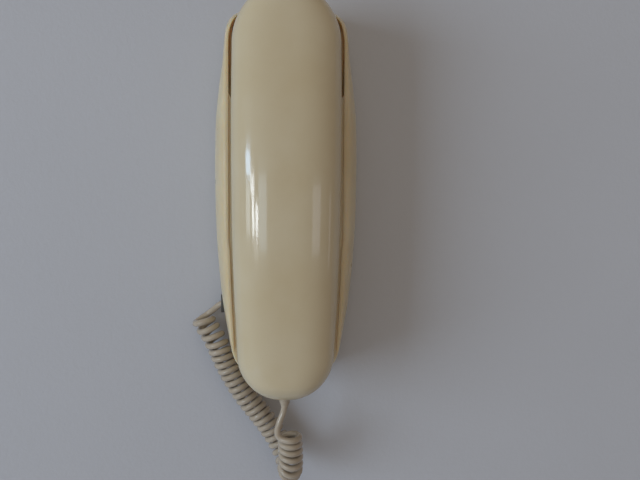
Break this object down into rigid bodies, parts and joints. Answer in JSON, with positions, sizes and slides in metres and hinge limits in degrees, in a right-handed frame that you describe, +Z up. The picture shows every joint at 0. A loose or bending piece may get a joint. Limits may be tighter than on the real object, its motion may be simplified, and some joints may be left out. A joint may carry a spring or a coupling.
{
  "type": "corded telephone",
  "caption": "Slim wall-hung corded telephone: a long rounded handset with keys on its inner face rests in a boat-shaped base, with a curly cord between them.",
  "frame": {"origin": "middle of the rear plate's flat back, on the wall", "axes": "+Z up along the phone's length, the phone faces -Y and +Y points into the wall, +X to the right seen from the front"},
  "size_m": [0.0885, 0.061, 0.2552],
  "materials": {
    "handset_shell": "glossy moulded cream plastic, slightly yellowed",
    "handset_inner_shell": "satin moulded cream plastic",
    "base_shell": "satin moulded cream plastic",
    "key": "moulded grey-brown key plastic with pale printed numbers",
    "switch_knob": "moulded",
    "black_plastic": "moulded",
    "rubber_part": "soft rubber",
    "circuit_board": "lacquered board with traces",
    "steel": "plated",
    "brass_disc": "thin disc",
    "cord": "aged vinyl cord",
    "clear_plastic": "clear modular plug"
  },
  "bodies": {
    "base": {"base_cover": "base_shell", "rear_plate": "base_shell", "line_board": "circuit_board", "ringer_sounder": "brass_disc", "ringer_switch_body": "black_plastic", "hook_pin": "steel", "hook_spring": "steel", "hook_switch": "black_plastic", "hanger_tab": "base_shell", "handset_jack": "black_plastic", "line_jack": "black_plastic", "base_screw_1": "steel", "base_screw_2": "steel", "base_screw_3": "steel", "base_screw_4": "steel", "cord_plug": "clear_plastic", "cord_lead_base": "cord", "cord_curls": "cord", "cord_lead_handset": "cord"},
    "handset": {"handset_cover": "handset_shell", "handset_face": "handset_inner_shell", "receiver_cap": "handset_inner_shell", "receiver_gasket": "rubber_part", "receiver_capsule": "steel", "mic_boot": "rubber_part", "mic_capsule": "steel", "handset_board": "circuit_board", "key_mat": "rubber_part", "dial_switch_body": "black_plastic", "cord_boot": "cord", "handset_screw_1": "steel", "handset_screw_2": "steel", "handset_screw_3": "steel"},
    "hook": {"hook_lever": "base_shell"},
    "ringer_switch": {"ringer_switch_knob": "switch_knob"},
    "dial_switch": {"dial_switch_knob": "switch_knob"},
    "key_1": {"key_1": "key"},
    "key_2": {"key_2": "key"},
    "key_3": {"key_3": "key"},
    "key_4": {"key_4": "key"},
    "key_5": {"key_5": "key"},
    "key_6": {"key_6": "key"},
    "key_7": {"key_7": "key"},
    "key_8": {"key_8": "key"},
    "key_9": {"key_9": "key"},
    "key_star": {"key_star": "key"},
    "key_0": {"key_0": "key"},
    "key_hash": {"key_hash": "key"},
    "key_redial": {"key_redial": "key"},
    "key_flash": {"key_flash": "key"}
  },
  "joints": [
    {"name": "handset_lift", "type": "slide", "parent": "base", "child": "handset", "axis": [0, -0.8, 0.6], "range_m": [0, 0.06]},
    {"name": "hook_hinge", "type": "hinge", "parent": "base", "child": "hook", "pos_m": [0, -0.009, 0.04], "axis": [1, 0, 0], "range_deg": [0, 6.5]},
    {"name": "key_1_press", "type": "slide", "parent": "handset", "child": "key_1", "axis": [0, -1, 0], "range_m": [0, 0.0012], "stiffness_N_per_m": 400},
    {"name": "key_2_press", "type": "slide", "parent": "handset", "child": "key_2", "axis": [0, -1, 0], "range_m": [0, 0.0012], "stiffness_N_per_m": 400},
    {"name": "key_3_press", "type": "slide", "parent": "handset", "child": "key_3", "axis": [0, -1, 0], "range_m": [0, 0.0012], "stiffness_N_per_m": 400},
    {"name": "key_4_press", "type": "slide", "parent": "handset", "child": "key_4", "axis": [0, -1, 0], "range_m": [0, 0.0012], "stiffness_N_per_m": 400},
    {"name": "key_5_press", "type": "slide", "parent": "handset", "child": "key_5", "axis": [0, -1, 0], "range_m": [0, 0.0012], "stiffness_N_per_m": 400},
    {"name": "key_6_press", "type": "slide", "parent": "handset", "child": "key_6", "axis": [0, -1, 0], "range_m": [0, 0.0012], "stiffness_N_per_m": 400},
    {"name": "key_7_press", "type": "slide", "parent": "handset", "child": "key_7", "axis": [0, -1, 0], "range_m": [0, 0.0012], "stiffness_N_per_m": 400},
    {"name": "key_8_press", "type": "slide", "parent": "handset", "child": "key_8", "axis": [0, -1, 0], "range_m": [0, 0.0012], "stiffness_N_per_m": 400},
    {"name": "key_9_press", "type": "slide", "parent": "handset", "child": "key_9", "axis": [0, -1, 0], "range_m": [0, 0.0012], "stiffness_N_per_m": 400},
    {"name": "key_star_press", "type": "slide", "parent": "handset", "child": "key_star", "axis": [0, -1, 0], "range_m": [0, 0.0012], "stiffness_N_per_m": 400},
    {"name": "key_0_press", "type": "slide", "parent": "handset", "child": "key_0", "axis": [0, -1, 0], "range_m": [0, 0.0012], "stiffness_N_per_m": 400},
    {"name": "key_hash_press", "type": "slide", "parent": "handset", "child": "key_hash", "axis": [0, -1, 0], "range_m": [0, 0.0012], "stiffness_N_per_m": 400},
    {"name": "key_redial_press", "type": "slide", "parent": "handset", "child": "key_redial", "axis": [0, -1, 0], "range_m": [0, 0.0012], "stiffness_N_per_m": 400},
    {"name": "key_flash_press", "type": "slide", "parent": "handset", "child": "key_flash", "axis": [0, -1, 0], "range_m": [0, 0.0012], "stiffness_N_per_m": 400},
    {"name": "ringer_switch_slide", "type": "slide", "parent": "base", "child": "ringer_switch", "axis": [1, 0, 0], "range_m": [0, 0.003]},
    {"name": "dial_switch_slide", "type": "slide", "parent": "handset", "child": "dial_switch", "axis": [1, 0, 0], "range_m": [0, 0.003]}
  ],
  "couplings": [
    {"joint": "hook_hinge", "follows": "handset_lift", "rad_per_m": 1.88}
  ]
}
